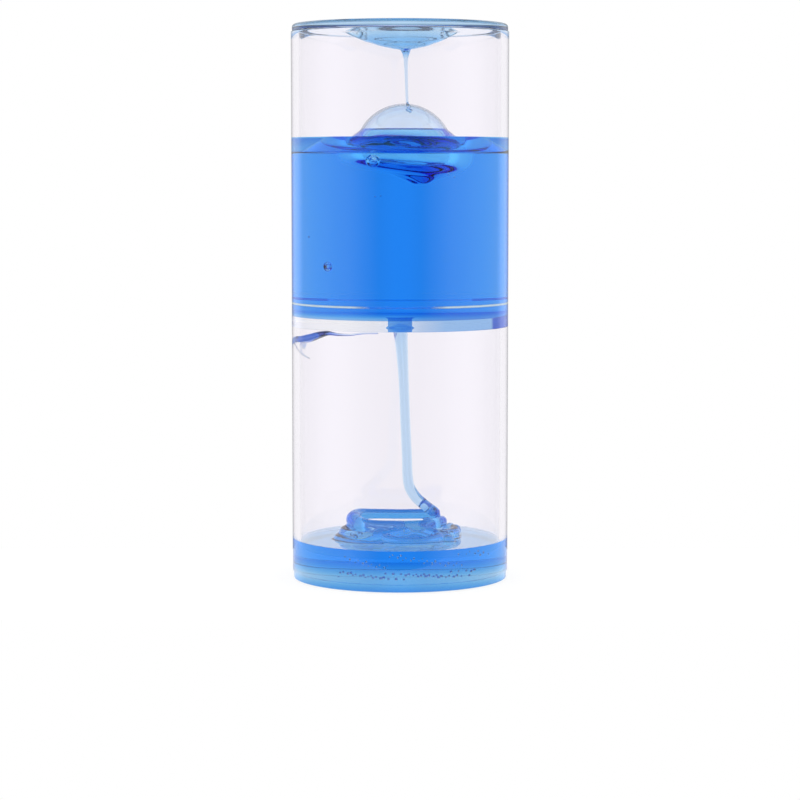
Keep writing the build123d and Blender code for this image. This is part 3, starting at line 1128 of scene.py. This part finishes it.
# Folds from the last to the deepest, through (x, y, z, radius) stations
last_fold = [
    (6.2, 0.45, 20.5, 1.45),
    (7.9, 0.65, 19.1, 1.5),
    (9.4, 1.5, 17.9, 1.55),
    (9.6, 3.6, 17.0, 1.6),
    (7.0, 5.0, 16.8, 1.45),
    (0.0, 5.2, 16.7, 1.4),
    (-8.0, 5.0, 16.8, 1.45),
    (-11.4, 3.8, 16.7, 1.8),
    (-12.8, 0.6, 15.9, 2.3),
    (-11.6, -2.8, 15.1, 2.2),
    (-8.0, -4.6, 14.7, 1.75),
    (0.0, -4.9, 14.6, 1.6),
    (6.5, -4.6, 14.8, 1.6),
    (10.2, -2.8, 15.2, 1.6),
    (11.6, 0.4, 15.3, 1.6),
    (9.8, 3.0, 14.6, 1.5),
    (6.0, 3.6, 13.6, 1.4),
]
older_fold = [
    (12.0, 5.0, 13.5, 1.5),
    (4.0, 7.5, 12.9, 1.6),
    (-7.0, 6.2, 13.1, 1.6),
    (-14.2, 1.5, 12.8, 1.7),
    (-14.8, -4.0, 12.3, 1.6),
    (-9.0, -8.6, 12.1, 1.5),
    (-1.0, -7.0, 12.9, 1.5),
    (5.0, -4.4, 13.2, 1.5),
    (10.5, -6.5, 12.4, 1.6),
    (15.0, -1.5, 12.3, 1.6),
    (14.0, 4.5, 12.8, 1.7),
]
oldest_fold = [
    (-12.0, -2.0, 12.5, 1.3),
    (-6.0, -6.2, 12.8, 1.3),
    (-2.5, -10.6, 11.7, 1.2),
    (4.0, -11.6, 11.2, 1.2),
    (10.5, -8.4, 11.9, 1.3),
    (7.5, -4.0, 12.9, 1.3),
    (1.5, -3.0, 13.1, 1.3),
]
sunken_fold = [
    (-16.4, 2.0, 11.3, 1.2),
    (-17.0, -4.5, 11.0, 1.2),
    (-12.5, -10.5, 10.7, 1.1),
    (-5.0, -13.0, 10.4, 1.1),
]
for fold in (last_fold, older_fold, oldest_fold, sunken_fold):
    tube(mound_mesh, fold)
for x, y, z, size in [(15.6, 2.2, 12.6, 1.6), (13.4, -8.0, 11.0, 1.6)]:
    ball(mound_mesh, (x, y, z), size)
mound_data = bpy.data.meshes.new("mound_parts")
mound_mesh.to_mesh(mound_data)
mound_mesh.free()
lower_mesh.from_mesh(mound_data)
bpy.data.meshes.remove(mound_data)
lower_goo = piece("lower_goo_body", lower_mesh, blue_goo, None, "goo", "lower_pool", "goo_mound", "goo_fold")

# One skin over all of it, set back onto the wall, the floor and the pool's level where remeshing moved it
VOXEL = 0.3
WALL_PULL = 0.35
FLAT_PULL = 0.25
OPEN_POOL = 21
remesh = lower_goo.modifiers.new("one_skin", "REMESH")
remesh.mode = "VOXEL"
remesh.voxel_size = VOXEL * MM
relax = lower_goo.modifiers.new("relax", "SMOOTH")
relax.factor = 0.5
relax.iterations = 6
bpy.context.view_layer.update()
evaluated = lower_goo.evaluated_get(bpy.context.evaluated_depsgraph_get())
lower_data = bpy.data.meshes.new_from_object(evaluated)
lower_goo.modifiers.clear()
lower_goo.data = lower_data
lower_goo.data.name = "lower_goo_body"
for vert in lower_data.vertices:
    reach = math.hypot(vert.co.x, vert.co.y)
    if reach > (GOO_RADIUS - WALL_PULL) * MM:
        scale = GOO_RADIUS * MM / reach
        vert.co.x *= scale
        vert.co.y *= scale
    if reach > OPEN_POOL * MM and abs(vert.co.z - POOL * MM) < FLAT_PULL * MM:
        vert.co.z = POOL * MM
    if vert.co.z < (FLOOR + FLAT_PULL) * MM:
        vert.co.z = (FLOOR - WET) * MM
lower_data.shade_smooth()


def lower_goo_touches(reach, height, x, normal):
    """Floor and wall."""
    at_wall = reach > BORE_RADIUS - 0.05 and abs(normal.z) < 0.5
    return height < FLOOR or at_wall


def lower_goo_painted_shade(reach, height, x):
    """Painted shade: a deeper blue skin in the folds, and lighter again where the stream lands."""
    folds = 0.6 * smooth((height - POOL - 0.5) / 1.2)
    last_turn = 0.4 * smooth((height - 14.5) / 1.5)
    landing = 1 - 0.8 * smooth((height - 17.8) / 2.4)
    return (folds + last_turn) * landing


def pool_bubble_painted_shade(reach, height, x):
    """Painted shade: dark in the lower row only."""
    return 1.0 if height < ROW_LIMIT else 0.0


mark_air(lower_data, lower_goo_touches)
mark_points(lower_data, "painted_shade", lower_goo_painted_shade)
bubble_mesh = bmesh.new()
for x, z, size in lower_row + upper_row:
    reach = BORE_RADIUS - BUBBLE_INSET - size * BUBBLE_ROOM
    ball(bubble_mesh, (x, -math.sqrt(reach**2 - x**2), z), size, hollow=True, detail=2)
bubble_data = bpy.data.meshes.new("pool_bubbles")
bubble_mesh.to_mesh(bubble_data)
bubble_mesh.free()
bubble_data.shade_smooth()
mark_air(bubble_data, None)
mark_points(bubble_data, "painted_shade", pool_bubble_painted_shade)
bubbled = bmesh.new()
bubbled.from_mesh(lower_data)
bubbled.from_mesh(bubble_data)
bubbled.to_mesh(lower_data)
bubbled.free()
bpy.data.meshes.remove(bubble_data)
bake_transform(lower_goo)

# Stage
floor_material = bpy.data.materials.new("floor_white")
floor_material.use_nodes = True
floor_nodes = floor_material.node_tree.nodes
floor_links = floor_material.node_tree.links
floor_nodes.remove(floor_nodes["Principled BSDF"])
floor_diffuse = floor_nodes.new("ShaderNodeBsdfDiffuse")
floor_diffuse.inputs["Color"].default_value = (0.22, 0.22, 0.22, 1)
floor_glow = floor_nodes.new("ShaderNodeEmission")
floor_glow.inputs["Strength"].default_value = 0.84
floor_sum = floor_nodes.new("ShaderNodeAddShader")
floor_links.new(floor_diffuse.outputs["BSDF"], floor_sum.inputs[0])
floor_links.new(floor_glow.outputs["Emission"], floor_sum.inputs[1])
floor_links.new(floor_sum.outputs["Shader"], floor_nodes["Material Output"].inputs["Surface"])
FLOOR_HALF = 0.06
FLOOR_WIDENED = 2.5
FLOOR_FORWARD = 0.01
FLOOR_BELOW = 0.0002
floor_mesh = bmesh.new()
bmesh.ops.create_grid(floor_mesh, x_segments=4, y_segments=4, size=FLOOR_HALF)
for vert in floor_mesh.verts:
    vert.co.x *= FLOOR_WIDENED
    vert.co.y -= FLOOR_FORWARD
    vert.co.z = -FLOOR_BELOW
floor_data = bpy.data.meshes.new("floor")
floor_mesh.to_mesh(floor_data)
floor_mesh.free()
floor_data.materials.append(floor_material)
floor = bpy.data.objects.new("floor", floor_data)
bpy.context.scene.collection.objects.link(floor)

# World: a white backdrop behind the object, softboxes at both sides and a dim room on the camera's side
world = bpy.data.worlds.new("studio")
world.use_nodes = True
bpy.context.scene.world = world
world_nodes = world.node_tree.nodes
world_links = world.node_tree.links
direction = world_nodes.new("ShaderNodeTexCoord")
split = world_nodes.new("ShaderNodeSeparateXYZ")
world_links.new(direction.outputs["Generated"], split.inputs["Vector"])
bearing = calculated(world_nodes, world_links, "ARCTAN2", split.outputs["X"], split.outputs["Y"])
turn_share = ranged(world_nodes, world_links, bearing, -math.pi, math.pi)


def room(right_half):
    """Light by bearing, alike at the left: 0 degrees is straight behind the object, 180 the camera's side."""
    left_half = [(-angle, level) for angle, level in reversed(right_half)]
    levels = left_half + right_half
    brightest = max(level for angle, level in levels)
    stops = [(angle / 360 + 0.5, (level / brightest,) * 3) for angle, level in levels]
    shade = world_nodes.new("ShaderNodeBackground")
    shade.inputs["Strength"].default_value = brightest
    world_links.new(ramped(world_nodes, world_links, turn_share, stops), shade.inputs["Color"])
    return shade


mirrored = room(
    [
        (2, 1.0),
        (6, 0.4),
        (20, 0.5),
        (30, 1.0),
        (44, 1.1),
        (56, 0.75),
        (96, 1.1),
        (124, 1.0),
        (158, 0.1),
        (180, 0.06),
    ]
)
refracted = room(
    [
        (2, 1.0),
        (8, 0.92),
        (50, 0.95),
        (66, 1.25),
        (98, 1.25),
        (130, 0.85),
        (180, 0.8),
    ]
)
backdrop = world_nodes["Background"]
backdrop.inputs["Color"].default_value = (1, 1, 1, 1)
light_path = world_nodes.new("ShaderNodeLightPath")
through = world_nodes.new("ShaderNodeMixShader")
world_links.new(light_path.outputs["Is Transmission Ray"], through.inputs["Fac"])
world_links.new(mirrored.outputs["Background"], through.inputs[1])
world_links.new(refracted.outputs["Background"], through.inputs[2])
is_camera = light_path.outputs["Is Camera Ray"]
is_diffuse = light_path.outputs["Is Diffuse Ray"]
direct = calculated(world_nodes, world_links, "MAXIMUM", is_camera, is_diffuse)
seen = world_nodes.new("ShaderNodeMixShader")
world_links.new(direct, seen.inputs["Fac"])
world_links.new(through.outputs["Shader"], seen.inputs[1])
world_links.new(backdrop.outputs["Background"], seen.inputs[2])
world_links.new(seen.outputs["Shader"], world_nodes["World Output"].inputs["Surface"])

# Camera at the photograph's viewing angle
camera_data = bpy.data.cameras.new("camera")
camera_data.lens = 114.55
camera_data.sensor_width = 36.0
camera_data.clip_end = 50.0
camera = bpy.data.objects.new("camera", camera_data)
camera.location = (0, -0.706, 0.1134)
aim = Vector((0, 0, 0.0493))
camera.rotation_euler = (aim - camera.location).to_track_quat("-Z", "Y").to_euler()
bpy.context.scene.collection.objects.link(camera)
scene = bpy.context.scene
scene.camera = camera
scene.view_settings.view_transform = "Standard"
scene.cycles.max_bounces = 32
scene.cycles.transmission_bounces = 32
scene.cycles.glossy_bounces = 16
